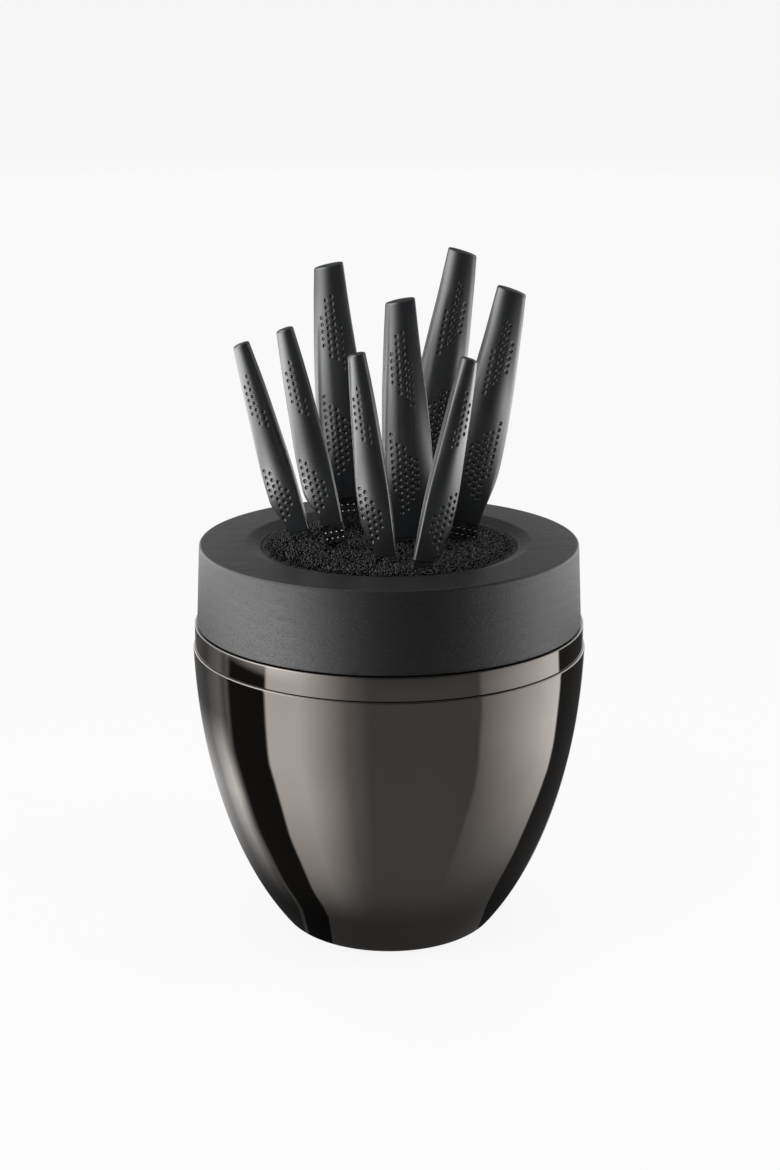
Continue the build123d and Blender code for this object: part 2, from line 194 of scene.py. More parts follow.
# Zinc-plated steel screws: pale grey with the mottle of the plating
def makeScrewSteel():
    finish, tree, shader = startFinish("zinc plated steel screw", {"Metallic": 1.0})
    place = addNode(tree, "TexCoord")["Object"]
    mottle = addNode(tree, "TexNoise", {"Vector": place, "Scale": perSize(1.5), "Detail": 3.0})["Fac"]
    tone = addNode(tree, "ValToRGB", {"Fac": mottle}, stops=((0, "#a8abb0"), (1, "#c8c8c4")))["Color"]
    gloss = addNode(tree, "MapRange", {"Value": mottle, "To Min": 0.25, "To Max": 0.42})[0]
    setInputs(tree, shader, {"Base Color": tone, "Roughness": gloss})
    return finish


gunmetal = makeGunmetal()
stainedWood = makeStainedWood()
handleNylon = makeHandleNylon()
bladeSteel = makeBladeSteel()
bristleNylon = makeBristleNylon()
cupPlastic = makeCupPlastic()
footRubber = makeFootRubber()
screwSteel = makeScrewSteel()
print("finishes:", len(bpy.data.materials))


# points in metres and lists of point numbers as a smooth object with its finish
def addObject(name, points, faces, finish):
    mesh = bpy.data.meshes.new(name)
    mesh.from_pydata(points.tolist(), [], faces)
    mesh.polygons.foreach_set("use_smooth", np.ones(len(mesh.polygons), bool))
    mesh.materials.append(finish)
    thing = bpy.data.objects.new(name, mesh)
    bpy.context.scene.collection.objects.link(thing)
    return thing


# Makes a piece from points in millimetres, turns it outwards by the sign of its volume
# (the sum of corner times the cross product of the other two), and rides it on its body
def makePiece(name, points, faces, finish, body, slot, *stands):
    corner = np.asarray(points, float) * mm
    volume = 0.0
    for group in faces:
        for k in range(1, group.shape[1] - 1):
            spread = np.cross(corner[group[:, k]], corner[group[:, k + 1]])
            volume += float((corner[group[:, 0]] * spread).sum())
    turned = [group if volume > 0 else group[:, ::-1] for group in faces]
    piece = addObject(name, corner, [row for group in turned for row in group.tolist()], finish)
    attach(piece, body)
    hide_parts(*stands)
    print("piece:", name, len(piece.data.polygons), "faces")


# quads between neighbouring rows of a grid of point numbers whose columns join up
def ringQuads(index):
    low, high = index[:-1], index[1:]
    return np.stack([low, np.roll(low, -1, 1), np.roll(high, -1, 1), high], -1).reshape(-1, 4)


# triangles from one ring of point numbers to a single point
def fan(ring, point):
    return np.stack([ring, np.roll(ring, -1), np.full_like(ring, point)], -1)


# points turned about Z: x = r cos a, y = r sin a, z = level
def turnAboutZ(radius, level, angle):
    return np.stack([radius * np.cos(angle), radius * np.sin(angle), level + 0 * angle], -1)


# equal angles round a circle
def allRound(steps):
    return np.arange(steps) * 2 * np.pi / steps


# A profile of (radius, level) rows turned about Z. It closes on itself, or in one point at each end
# where the ends lie on the axis.
def lathe(profile, segments):
    onAxis = profile[0, 0] < tiny
    body = profile[1:-1] if onAxis else profile
    points = turnAboutZ(body[:, :1], body[:, 1:], allRound(segments)).reshape(-1, 3)
    index = np.arange(len(points)).reshape(len(body), segments)
    if not onAxis:
        return points, [ringQuads(np.vstack([index, index[:1]]))]
    first, last = len(points), len(points) + 1
    ends = np.array([[0, 0, profile[0, 1]], [0, 0, profile[-1, 1]]])
    return np.vstack([points, ends]), [
        ringQuads(index), fan(index[0][::-1], first), fan(index[-1], last)]


# A closed outline with each corner rounded: the arc's centre lies on the corner's bisector at
# radius / sin(half the angle), and one more point each side keeps the flats flat
def roundCorners(corners, steps=7, hold=0.25):
    table = np.asarray(corners, float)
    point, radius = table[:, :2], table[:, 2:]
    back = np.roll(point, 1, 0) - point
    onward = np.roll(point, -1, 0) - point
    back /= np.linalg.norm(back, axis=1, keepdims=True)
    onward /= np.linalg.norm(onward, axis=1, keepdims=True)
    half = np.arccos(np.clip((back * onward).sum(1, keepdims=True), -1, 1)) / 2
    reach = radius / np.tan(half)
    bisector = back + onward
    bisector /= np.linalg.norm(bisector, axis=1, keepdims=True)
    centre = point + bisector * radius / np.sin(half)
    start = point + back * reach - centre
    end = point + onward * reach - centre
    sweep = np.pi - 2 * half
    share = np.linspace(0, 1, steps)[None, :, None]
    toStart, toEnd = np.sin((1 - share) * sweep[:, None]), np.sin(share * sweep[:, None])
    arc = centre[:, None] + (toStart * start[:, None] + toEnd * end[:, None]) / np.sin(sweep)[:, None]
    before = (point + back * (reach + hold))[:, None]
    after = (point + onward * (reach + hold))[:, None]
    return np.concatenate([before, arc, after], 1).reshape(-1, 2)


# Bowl: an egg of spun sheet, flat at the base
bowl = dict(radius=107.5, baseRadius=57.0, foot=1.2, rim=162.5, centre=172.5, wall=1.5,
            baseRound=9.0, rimRound=0.6, flatMargin=0.4, flatSteps=8, roundSteps=14, sideSteps=110,
            lipSteps=7, searchSteps=4000, segments=288)
baseShare = bowl["baseRadius"] / bowl["radius"]
bowl["halfHeight"] = (bowl["centre"] - bowl["foot"]) / math.sqrt(1 - baseShare ** 2)


# One skin of the bowl from the axis out and up to the rim. The wall is an ellipse,
# r = a sin t, z = centre - b cos t, and the base round is the circle that touches it and the floor:
# its centre is where the ellipse moved inwards by the round's radius is that far above the floor.
def eggSkin(inset, floor, rounding, top):
    a, b = bowl["radius"] - inset, bowl["halfHeight"] - inset
    t = np.linspace(0.05, 1.55, bowl["searchSteps"])
    wall = np.stack([a * np.sin(t), bowl["centre"] - b * np.cos(t)], -1)
    inward = np.stack([-b * np.sin(t), a * np.cos(t)], -1)
    inward /= np.linalg.norm(inward, axis=1, keepdims=True)
    moved = wall + rounding * inward
    touch = np.interp(floor + rounding, moved[:, 1], t)
    centre = np.interp(touch, t, moved[:, 0]), floor + rounding
    meet = np.array([a * math.sin(touch), bowl["centre"] - b * math.cos(touch)]) - centre
    turn = np.linspace(-np.pi / 2, math.atan2(meet[1], meet[0]), bowl["roundSteps"])
    arc = np.stack([centre[0] + rounding * np.cos(turn), centre[1] + rounding * np.sin(turn)], -1)
    flatRadius = np.linspace(0, centre[0] - bowl["flatMargin"], bowl["flatSteps"])
    flat = np.stack([flatRadius, np.full_like(flatRadius, floor)], -1)
    rise = np.linspace(touch, math.acos((bowl["centre"] - top) / b), bowl["sideSteps"])[1:]
    side = np.stack([a * np.sin(rise), bowl["centre"] - b * np.cos(rise)], -1)
    return np.vstack([flat, arc, side])


outerSkin = eggSkin(0.0, bowl["foot"], bowl["baseRound"], bowl["rim"] - bowl["rimRound"])
innerSkin = eggSkin(bowl["wall"], bowl["foot"] + bowl["wall"], bowl["baseRound"] - bowl["wall"], bowl["rim"])
lipTurn = np.linspace(0, np.pi / 2, bowl["lipSteps"])[1:]
lipCircle = bowl["rimRound"] * np.stack([np.cos(lipTurn), np.sin(lipTurn)], -1)
lipArc = outerSkin[-1] - [bowl["rimRound"], 0] + lipCircle
makePiece("bowlShell", *lathe(np.vstack([outerSkin, lipArc, innerSkin[::-1]]), bowl["segments"]),
          gunmetal, "block", "gunmetal_steel", "bowl")


# Collar: steel band that stands in the bowl's mouth, with a flange under the wooden ring
collar = dict(top=175.3, step=1.0, wall=2.5, skirt=10.0, flangeWidth=16.0, flange=2.0, seat=169.5, edge=0.4,
              innerEdge=0.3, flangeEdge=0.2, crease=0.1, clearance=0.35, segments=288)


# radius of the bowl's wall at a level, this far in from its outer skin: r = a sqrt(1 - ((centre - z) / b)^2)
def bowlRadius(level, inset=0.0):
    drop = (bowl["centre"] - level) / (bowl["halfHeight"] - inset)
    return (bowl["radius"] - inset) * math.sqrt(1 - drop ** 2)


collarRadius = bowlRadius(bowl["rim"]) - collar["step"]
collarInner = collarRadius - collar["wall"]
skirtLevel = bowl["rim"] - collar["skirt"]
skirtRadius = bowlRadius(skirtLevel, bowl["wall"]) - collar["clearance"]
flangeRadius = collarInner - collar["flangeWidth"]
flangeLevel = collar["seat"] - collar["flange"]
collarCorners = [
    (collarInner, skirtLevel, collar["innerEdge"]), (skirtRadius, skirtLevel, collar["innerEdge"]),
    (skirtRadius, bowl["rim"], collar["crease"]), (collarRadius, bowl["rim"], collar["edge"]),
    (collarRadius, collar["top"], collar["edge"]), (collarInner, collar["top"], collar["innerEdge"]),
    (collarInner, collar["seat"], collar["crease"]), (flangeRadius, collar["seat"], collar["flangeEdge"]),
    (flangeRadius, flangeLevel, collar["flangeEdge"]), (collarInner, flangeLevel, collar["crease"])]
makePiece("collarBand", *lathe(roundCorners(collarCorners), collar["segments"]),
          gunmetal, "block", "gunmetal_steel", "collar")


# Wooden ring: tapered side, eased top edge, and a soft dish down to the cup
ring = dict(top=219.5, step=1.4, taper=2.0, spigot=0.4, shadow=0.3, edge=1.4, bore=67.9, lipBore=69.7,
            ledge=210.7, dishWidth=7.5, dishDepth=2.5, dishRound=6.0, spigotEdge=0.4, crease=0.1,
            lowerEdge=0.5, lipEdge=0.5, ledgeCrease=0.2, ledgeEdge=0.3, cornerSteps=9, segments=288)
ringBottom = collarRadius - ring["step"]
ringLevel = collar["top"] + ring["shadow"]
spigotRadius = collarInner - ring["spigot"]
ringCorners = [
    (ring["bore"], collar["seat"], ring["spigotEdge"]), (spigotRadius, collar["seat"], ring["spigotEdge"]),
    (spigotRadius, ringLevel, ring["crease"]), (ringBottom, ringLevel, ring["lowerEdge"]),
    (ringBottom - ring["taper"], ring["top"], ring["edge"]),
    (ring["lipBore"] + ring["dishWidth"], ring["top"], ring["dishRound"]),
    (ring["lipBore"], ring["top"] - ring["dishDepth"], ring["lipEdge"]),
    (ring["lipBore"], ring["ledge"], ring["ledgeCrease"]), (ring["bore"], ring["ledge"], ring["ledgeEdge"])]
makePiece("woodenRing", *lathe(roundCorners(ringCorners, ring["cornerSteps"]), ring["segments"]),
          stainedWood, "block", "black_stained_wood", "top_ring")


# Where each knife stands: its axis at the bristles' tops, the way its spine faces and its lean in
# degrees, the steel that shows above the bristles, and the blade's length, width and thickness
bristleTop = 218.0
knives = {name: dict(size=size, place=place, bearing=bearing, lean=lean, shows=shows, blade=blade)
          for name, size, place, bearing, lean, shows, blade in (
              ("utility", "small", (-51.0, 14.0), -12.0, 15.8, 2.0, (120, 18, 1.8)),
              ("vegetable", "small", (-30.1, -13.0), -8.0, 12.0, 13.0, (130, 31, 1.8)),
              ("bread", "large", (-19.2, 32.0), 0.0, 5.3, 18.0, (200, 31, 2.2)),
              ("paring", "small", (-3.7, -37.7), -16.0, 7.2, 2.0, (90, 18, 1.8)),
              ("santoku", "large", (14.5, 2.6), 0.0, 3.8, 2.5, (175, 44, 2.2)),
              ("carving", "large", (12.6, 41.3), 180.0, 10.2, 26.0, (200, 30, 2.2)),
              ("trimming", "small", (19.7, -49.5), 203.0, 12.4, 2.0, (110, 18, 1.8)),
              ("chef", "large", (36.8, 11.5), 180.0, 11.9, 9.5, (195, 36.5, 2.2)))}

# Handles, moulded: sizes in the knife's own frame, X to the spine and Z to the butt.
# Spine, belly, thickness and spine facet follow the stations, as shares of the full size.
handles = dict(
    large=dict(length=130.0, butt=7.9, spine=12.0, belly=15.0, slim=1.0, neck=22.5, shoulder=17.0,
               thickness=14.0, sideSteps=86, upper=(0.885, 0.33), lower=(0.45, 0.34)),
    small=dict(length=108.0, butt=4.6, spine=8.6, belly=9.4, slim=0.95, neck=11.8, shoulder=10.5,
               thickness=11.0, sideSteps=60, upper=(0.84, 0.30), lower=(0.36, 0.29)),
    stations=(0.0, 0.16, 0.32, 0.55, 0.80, 1.0), spineShare=(0.96, 0.99, 1.0, 0.93, 0.76),
    bellyShare=(0.93, 0.99, 1.0, 0.90, 0.70), thickShare=(0.66, 0.88, 1.0, 0.92, 0.78),
    neckThickness=4.8, neckFacet=3.2, facet=4.6, buttFacet=0.6, fuller=1.45, fullest=0.375,
    spineRound=0.9, spineRoundMost=0.6, bendSteps=7, roundness=0.55, roundSteps=9, noseLeast=0.3,
    neckLength=6.0, neckEase=4.0, shoulderEase=2.5, cutDepth=3.0, cutCap=0.8,
    slant=7.0, slantFrom=0.86, buttRound=1.3, rollSteps=6, buttRise=0.4, dome=(0.8, 0.55, 0.3, 0.1),
    foot=(0.2, 0.6, 0.97), fine=(0.08, 0.88), rowStep=0.33, footRows=14, buttRows=16)

# Dimples of both faces. A field's edges, as shares of half the handle's width, are
# a + b s + c sin(pi s), s running down the field.
dimple = dict(radius=1.0, depth=0.9, pitch=3.75, columns=3.1, columnsEachSide=6, flatShare=0.6, deepest=0.8,
              upper=((-0.1, 0.5, -0.86), (0.1, 0.4, 0.1)), lower=((-0.8, 0.35, -0.05), (-0.55, 0.4, 0.85)))


# a smooth curve through the stations: cubic Hermite pieces with slopes from the neighbours
def through(stations, values, at):
    x, y = np.asarray(stations, float), np.asarray(values, float)
    slope = np.gradient(y, x)
    k = np.clip(np.searchsorted(x, at, side="right") - 1, 0, len(x) - 2)
    span = x[k + 1] - x[k]
    t = (at - x[k]) / span
    return ((1 + 2 * t) * (1 - t) ** 2 * y[k] + t * (1 - t) ** 2 * span * slope[k]
            + t * t * (3 - 2 * t) * y[k + 1] + t * t * (t - 1) * span * slope[k + 1])


# the smaller of two curves, with the corner between them eased over a width
def softLess(a, b, width):
    near = np.maximum(width - np.abs(a - b), 0) / width
    return np.minimum(a, b) - near * near * width / 4


# 0 to 1 between two values, as 3 t^2 - 2 t^3
def smoothStep(low, high, value):
    t = np.clip((value - low) / (high - low), 0, 1)
    return t * t * (3 - 2 * t)


# spine reach, belly reach, thickness and facet at levels along a handle
def handleReaches(size, level):
    share, stations = level / size["length"], handles["stations"]
    slim = np.array([1, 1, 1, size["slim"], size["slim"]])
    thickness = np.array(handles["thickShare"]) * size["thickness"]
    facets = [handles["neckFacet"]] + 4 * [handles["facet"]] + [handles["buttFacet"] * size["butt"]]
    return (through(stations, [*(slim * handles["spineShare"] * size["spine"]), size["butt"]], share),
            through(stations, [*(slim * handles["bellyShare"] * size["belly"]), size["butt"]], share),
            through(stations, [handles["neckThickness"], *thickness], share),
            through(stations, facets, share))


# Centres of the dimples on one face, as (level, x): staggered columns inside two leaf-shaped fields
def dimpleCentres(size):
    column = np.arange(-dimple["columnsEachSide"], dimple["columnsEachSide"] + 1)
    level, x = np.meshgrid(np.arange(0, size["length"], dimple["pitch"]),
                           column * dimple["columns"], indexing="ij")
    level = level + (column % 2) * dimple["pitch"] / 2
    spine, belly = handleReaches(size, level)[:2]
    side = (x - (spine - belly) / 2) / ((spine + belly) / 2)
    keep = np.zeros(level.shape, bool)
    for field in ("upper", "lower"):
        start, length = size[field]
        s = (start - level / size["length"]) / length
        left, right = (a + b * s + c * np.sin(np.pi * s) for a, b, c in dimple[field])
        keep |= (s > 0) & (s < 1) & (side > left) & (side < right)
    return level[keep], x[keep]


# A handle as a grid of levels by steps round the section. Half a section is the flat spine, an arc
# through the spine's edge, the thickest point and the belly's nose, and a belly rounded by a cubic
# curve that leaves along the arc; the other half mirrors it. The belly's reach drops to the neck,
# and each dimple sinks the face along Y by depth times a smooth step of the distance from its centre.
def handleSurface(size):
    fineFrom, fineTo = (share * size["length"] for share in handles["fine"])
    top = size["length"] - handles["buttRound"]
    level = np.concatenate([np.linspace(0, fineFrom, handles["footRows"])[:-1],
                            np.arange(fineFrom, fineTo, handles["rowStep"]),
                            np.linspace(fineTo, top, handles["buttRows"])])[:, None]
    spine, belly, thick, facet = handleReaches(size, level)
    half = facet / 2
    nose = np.minimum(half, thick / 3)
    neckReach = size["neck"] - size["spine"]
    rise = (size["belly"] - neckReach) / size["shoulder"]
    slope = neckReach + rise * (level - handles["neckLength"])
    eased = -softLess(np.full_like(level, -neckReach), -slope, handles["neckEase"])
    reach = softLess(belly, eased, handles["shoulderEase"])
    cut = np.clip((belly - reach) / handles["cutDepth"], 0, 1)
    cap = nose * (1 - cut) + handles["cutCap"] * cut
    # the circle through the three points of the side
    ax, ay, bx, by, cx = spine, half, (spine - belly) / 2, thick / 2, nose - belly
    cy = np.minimum(handles["fuller"] * nose, handles["fullest"] * thick)
    det = 2 * (ax * (by - cy) + bx * (cy - ay) + cx * (ay - by))
    aa, bb, cc = ax ** 2 + ay ** 2, bx ** 2 + by ** 2, cx ** 2 + cy ** 2
    midX = (aa * (by - cy) + bb * (cy - ay) + cc * (ay - by)) / det
    midY = (aa * (cx - bx) + bb * (ax - cx) + cc * (bx - ax)) / det
    radius = np.hypot(ax - midX, ay - midY)
    # the spine's edge is eased: a parabola from the flat to the arc, with the edge as its corner
    ease = np.minimum(handles["spineRound"], handles["spineRoundMost"] * half)
    angleA = np.arctan2(ay - midY, ax - midX) + ease / radius
    arcX, arcY = midX + radius * np.cos(angleA), midY + radius * np.sin(angleA)
    bend = np.linspace(0, 1, handles["bendSteps"])[:-1]
    toFlat, toEdge, toArc = (1 - bend) ** 2, 2 * bend * (1 - bend), bend ** 2
    # the arc runs on to the belly's cap, and the cap's curve aims at where the arc would meet the belly
    angleB = np.arccos(np.clip((cap - reach - midX) / radius, -1, 1))
    angle = angleA + (angleB - angleA) * np.linspace(0, 1, size["sideSteps"])
    endY = midY + radius * np.sin(angleB)
    cornerY = np.maximum(endY + cap / np.tan(angleB), handles["noseLeast"] * endY)
    t, roundness = np.linspace(0, 1, handles["roundSteps"])[1:], handles["roundness"]
    first, second, third = (1 - t) ** 3, 3 * (1 - t) ** 2 * t, 3 * (1 - t) * t * t
    toSide, toCorner = first + (1 - roundness) * second, roundness * (second + third)
    flatShare = np.array([0.0, 0.5])
    x = np.concatenate([spine + 0 * flatShare, spine + (arcX - spine) * toArc,
                        midX + radius * np.cos(angle), cap * toSide - reach], 1)
    y = np.concatenate([(half - ease) * flatShare, (half - ease) * toFlat + half * toEdge + arcY * toArc,
                        midY + radius * np.sin(angle), endY * toSide + cornerY * toCorner], 1)
    sink = np.zeros_like(x)
    for centreLevel, centreX in zip(*dimpleCentres(size)):
        rows = np.abs(level[:, 0] - centreLevel) < dimple["radius"]
        away = np.hypot(level[rows] - centreLevel, x[rows] - centreX) / dimple["radius"]
        depth = dimple["depth"] * (1 - smoothStep(dimple["flatShare"], 1.0, away))
        sink[rows] = np.maximum(sink[rows], depth)
    y = y - np.minimum(sink, dimple["deepest"] * y)
    x = np.concatenate([x, x[:, -2:0:-1]], 1)
    y = np.concatenate([y, -y[:, -2:0:-1]], 1)
    # the butt slants, and its edge rolls over onto a slightly domed end
    tilt = math.tan(math.radians(handles["slant"]))
    z = level + (x - size["butt"]) * tilt * smoothStep(handles["slantFrom"], 1.0, level / top)
    roll = np.linspace(0, np.pi / 2, handles["rollSteps"])[1:, None]
    inset = 1 - (1 - np.cos(roll)) * handles["buttRound"] / size["butt"]
    dome = np.array(handles["dome"])[:, None] * inset[-1]
    scale = np.vstack([inset, dome])
    lift = np.concatenate([np.sin(roll) * handles["buttRound"],
                           handles["buttRound"] + handles["buttRise"] * (1 - dome ** 2)])
    endX = x[-1] * scale
    endZ = top + (endX - size["butt"]) * tilt + lift
    # the foot closes flat
    shut = np.array(handles["foot"])[:, None]
    centreX = float(spine[0, 0] - reach[0, 0]) / 2
    footX = centreX + (x[0] - centreX) * shut
    grid = np.stack([np.vstack([footX, x, endX]), np.vstack([y[0] * shut, y, y[-1] * scale]),
                     np.vstack([0 * footX, z, endZ])], -1)
    index = np.arange(grid.size // 3).reshape(grid.shape[:2])
    tip = [0, 0, top - size["butt"] * tilt + handles["buttRound"] + handles["buttRise"]]
    points = np.vstack([grid.reshape(-1, 3), [[centreX, 0, 0], tip]])
    return points, [ringQuads(index), fan(index[0][::-1], len(points) - 2), fan(index[-1], len(points) - 1)]


# the knife's axes as rows: X to the spine, Y across the flats, Z to the butt, and its zero point
def knifeFrame(knife):
    bearing, lean = math.radians(knife["bearing"]), math.radians(knife["lean"])
    way = np.array([math.cos(bearing), math.sin(bearing), 0.0])
    up = np.array([0.0, 0.0, 1.0])
    axis = up * math.cos(lean) - way * math.sin(lean)
    toSpine = way * math.cos(lean) + up * math.sin(lean)
    zero = np.array([*knife["place"], bristleTop]) + axis * knife["shows"]
    return np.stack([toSpine, np.cross(axis, toSpine), axis]), zero


moulds = {name: handleSurface(handles[name]) for name in ("large", "small")}
for name, knife in knives.items():
    axes, zero = knifeFrame(knife)
    points, faces = moulds[knife["size"]]
    makePiece(name + "Grip", points @ axes + zero, faces, handleNylon, name + "_knife", "handle_black",
              name + "_handle")


# Bristles: strands on a staggered lattice, shaken, pushed aside by the blades, tips leaning a little
bristles = dict(pitch=1.6, radius=0.58, reach=64.9, sides=5, root=24.0, knee=2.5, lean=1.7, calm=0.7,
                shake=0.45, uneven=0.72, point=0.45, pointLean=1.03, splay=3.3, splayFrom=50.0,
                slack=0.12, slotEnd=1.0, passes=2, spareColumns=2, spareRows=10,
                backing=(21.93, 24.93), backingRadius=65.6, backingSegments=96)


# positions pushed out of the upright slot that a blade sweeps as it is drawn
def partRound(knife, spot):
    bearing = math.radians(knife["bearing"])
    way = np.array([math.cos(bearing), math.sin(bearing)])
    across = np.array([-way[1], way[0]])
    length, width, thickness = knife["blade"]
    spine = handles[knife["size"]]["spine"]
    local = spot - knife["place"]
    u, v = local @ way, local @ across
    room = thickness / 2 + bristles["radius"] + bristles["slack"]
    low = spine - width - bristles["slotEnd"]
    high = spine + length * math.sin(math.radians(knife["lean"])) + bristles["slotEnd"]
    inside = (u > low) & (u < high) & (np.abs(v) < room)
    v = np.where(inside, np.where(v < 0, -room, room), v)
    return knife["place"] + u[:, None] * way + v[:, None] * across, inside


count = int(bristles["reach"] / bristles["pitch"]) + bristles["spareColumns"]
rowCount = count + bristles["spareRows"]
column, row = np.meshgrid(np.arange(-count, count + 1), np.arange(-rowCount, rowCount + 1))
spot = np.stack([column + 0.5 * (row % 2), row * math.sqrt(3) / 2], -1).reshape(-1, 2) * bristles["pitch"]
spot = spot + random.uniform(-1, 1, spot.shape) * bristles["shake"]
spot = spot[np.hypot(*spot.T) < bristles["reach"]]
still = np.zeros(len(spot), bool)
for _ in range(bristles["passes"]):
    for knife in knives.values():
        spot, pushed = partRound(knife, spot)
        still |= pushed
clear = np.hypot(*spot.T) < bristles["reach"]
for knife in knives.values():
    clear &= np.abs(partRound(knife, spot)[0] - spot).max(1) < tiny
spot, still = spot[clear], still[clear]


# Each strand is three rings and a point: r cos a and r sin a about its line, which is upright from
# the root to the knee and then leans by its own small offset, and near the cup's wall outwards too,
# by the square of how near it is, so that the tips hang over the lip; beside a blade it stays upright
def strandSurface(spot, still):
    number = len(spot)
    away = np.hypot(*spot.T)
    near = np.clip((away - bristles["splayFrom"]) / (bristles["reach"] - bristles["splayFrom"]), 0, 1)
    outward = spot / away[:, None] * (bristles["splay"] * near ** 2)[:, None]
    ownLean = random.normal(0, 1, (number, 2)) * bristles["lean"] * (1 - bristles["calm"] * near)[:, None]
    lean = np.where(still[:, None], 0.0, ownLean + outward)
    tall = bristleTop - np.abs(random.normal(0, 1, number)) * bristles["uneven"]
    angle = allRound(bristles["sides"])
    circle = np.stack([np.cos(angle), np.sin(angle)], -1) * bristles["radius"]
    lines = np.stack([spot, spot, spot + lean], 1)
    levels = np.stack([np.full(number, bristles["root"]), tall - bristles["knee"],
                       tall - bristles["point"]], 1)
    flat = lines[:, :, None] + circle
    high = np.broadcast_to(levels[:, :, None, None], flat.shape[:3] + (1,))
    rings = np.concatenate([flat, high], -1).reshape(-1, 3)
    tips = np.column_stack([spot + lean * bristles["pointLean"], tall])
    index = np.arange(number * 3 * bristles["sides"]).reshape(number, 3, bristles["sides"])
    low, up = index[:, :-1], index[:, 1:]
    quads = np.stack([low, np.roll(low, -1, 2), np.roll(up, -1, 2), up], -1).reshape(-1, 4)
    tip = np.broadcast_to((len(rings) + np.arange(number))[:, None], (number, bristles["sides"]))
    tops = np.stack([index[:, 2], np.roll(index[:, 2], -1, 1), tip], -1).reshape(-1, 3)
    return np.vstack([rings, tips]), [quads, tops, index[:, 0, ::-1]]


strandPoints, strandFaces = strandSurface(spot, still)
low, high = bristles["backing"]
edge = bristles["backingRadius"]
disc = np.array([[0, low], [edge, low], [edge, high], [0, high]])
discPoints, discFaces = lathe(disc, bristles["backingSegments"])
makePiece("bristleField", np.vstack([strandPoints, discPoints]),
          strandFaces + [group + len(strandPoints) for group in discFaces],
          bristleNylon, "insert", "bristle_nylon", "bristles")
print("strands:", len(spot))


# CAD nodes that stay get their finish
def dress(node, finish):
    nodes[node].data.materials.clear()
    nodes[node].data.materials.append(finish)


for name in knives:
    dress(name + "_blade", bladeSteel)
dress("bristle_cup", cupPlastic)
dress("base_foot", footRubber)
dress("ring_screws", screwSteel)


# Studio: a pale floor whose far edge turns up, soft lamps left, right and overhead, and a screen
# round the object that only polished and satin surfaces mirror. Bearing is degrees from the front,
# positive to the right.
studio = dict(floor="#505050", floorGlow=0.9, floorRings=(0.02, 1.0, 3.0), floorRadius=6.0, rimHeight=2.6,
              floorSegments=96, rimSteps=10, worldFill=0.3,
              lamps=[dict(name="leftLamp", bearing=-55, away=0.8, level=0.55, size=(0.5, 0.8), radiance=3.5),
                     dict(name="rightLamp", bearing=82, away=0.8, level=0.5, size=(0.5, 0.8), radiance=3.0),
                     dict(name="topLamp", bearing=0, away=0.0, level=1.3, size=(1.0, 1.0), radiance=1.0)])

# The screen, in metres and degrees. Below the change of level it is what the bowl and the collar mirror:
# a black flag beside each strip, a left strip with a soft inner edge, an even middle and a right strip
# that grows outwards. Strips brighter than the middle fade, and draw together, towards the floor, and the
# outer strip on the left has a brightness of its own. Above, it is what the wooden ring and the handles
# mirror: a left and a right lamp at each upperLevel (strength, bearing, width outwards, width inwards).
screen = dict(
    level=(0.0004, 0.004, 0.009, 0.018, 0.030, 0.043, 0.054, 0.065, 0.079, 0.098, 0.127,
           0.24, 0.32, 0.40, 0.55, 0.75),
    radius=(0.046, 0.08, 0.095, 0.112, 0.13, 0.1495, 0.1665, 0.181, 0.199, 0.2235, 0.253,
            0.32, 0.355, 0.38, 0.42, 0.4),
    fade=(0.3, 0.5, 0.85, 1, 1, 1, 1, 1, 1, 1, 1, 1, 1, 1, 0.7, 0.4),
    stripsLeft=(0, 0, 0.22, 0.42, 0.62, 0.82, 0.95, 1, 1, 1, 1, 1, 1, 1, 1, 1),
    stripsRight=(0, 0, 0, 0.1, 0.28, 0.5, 0.68, 0.85, 1, 1, 1, 1, 1, 1, 1, 1),
    outer=(0.3, 0.3, 0.5, 1, 1.6, 2, 1.5, 1, 0.35, 0.35, 0.35, 1, 1, 1, 1, 1),
    narrowLeft=(0.5, 0.53, 0.67, 0.743, 0.833, 0.888, 0.944, 1, 1.013, 1.03, 1.05, 1, 1, 1, 1, 1),
    narrowRight=(0.5, 0.56, 0.62, 0.72, 0.8, 0.9, 0.98, 1.015, 1.03, 1.06, 1.06, 1, 1, 1, 1, 1),
    rows=90, crowding=1.6, step=0.6, change=(0.1235, 0.129), middle=0.25,
    outerStarts=(-84, -88), outerEnds=(-165, -125),
    bowlBearing=(-180, -108, -93, -82, -58.5, -57, -40, -18, -8, 39, 41, 80, 90, 91.5, 130, 134, 180),
    bowlGlow=(0.33, 0.4, 1.3, 0.03, 0.03, 2.1, 2.1, 0.5, 0.25, 0.25, 0.6, 2.3, 2.3, 0.05, 0.05, 0.33, 0.33),
    upperLevel=(0.155, 0.178, 0.205, 0.25, 0.29, 0.31, 0.36, 0.39),
    leftLamp=((7.2, 59, 32, 23), (2.2, 112, 35, 60), (2.6, 117, 37, 58), (4.4, 84, 59, 33),
              (3.7, 74, 51, 32), (1.5, 65, 62, 30), (1.5, 66, 61, 31), (4.1, 65, 52, 26)),
    rightLamp=((1.3, 88, 40, 26), (1.3, 87, 46, 26), (4.3, 73, 68, 21), (3.2, 106, 49, 10),
               (2.3, 106, 35, 11), (0.8, 104, 40, 12), (0.8, 105, 38, 13), (1.4, 105, 32, 12)),
    backGlow=(0.9, 0.9, 0.8, 0.4, 0.2, 0.2, 0.1, 0.1), frontGlow=0.04)


# a lamp's glow is a bell, strength times exp(-(d / width)^2), where d is degrees from its bearing,
# with one width outwards, to the back, and another inwards, to the front
def bell(lamp, bearing):
    strength, place, outwards, inwards = lamp
    away = bearing - place
    return strength * np.exp(-(away / np.where(away > 0, outwards, inwards)) ** 2)


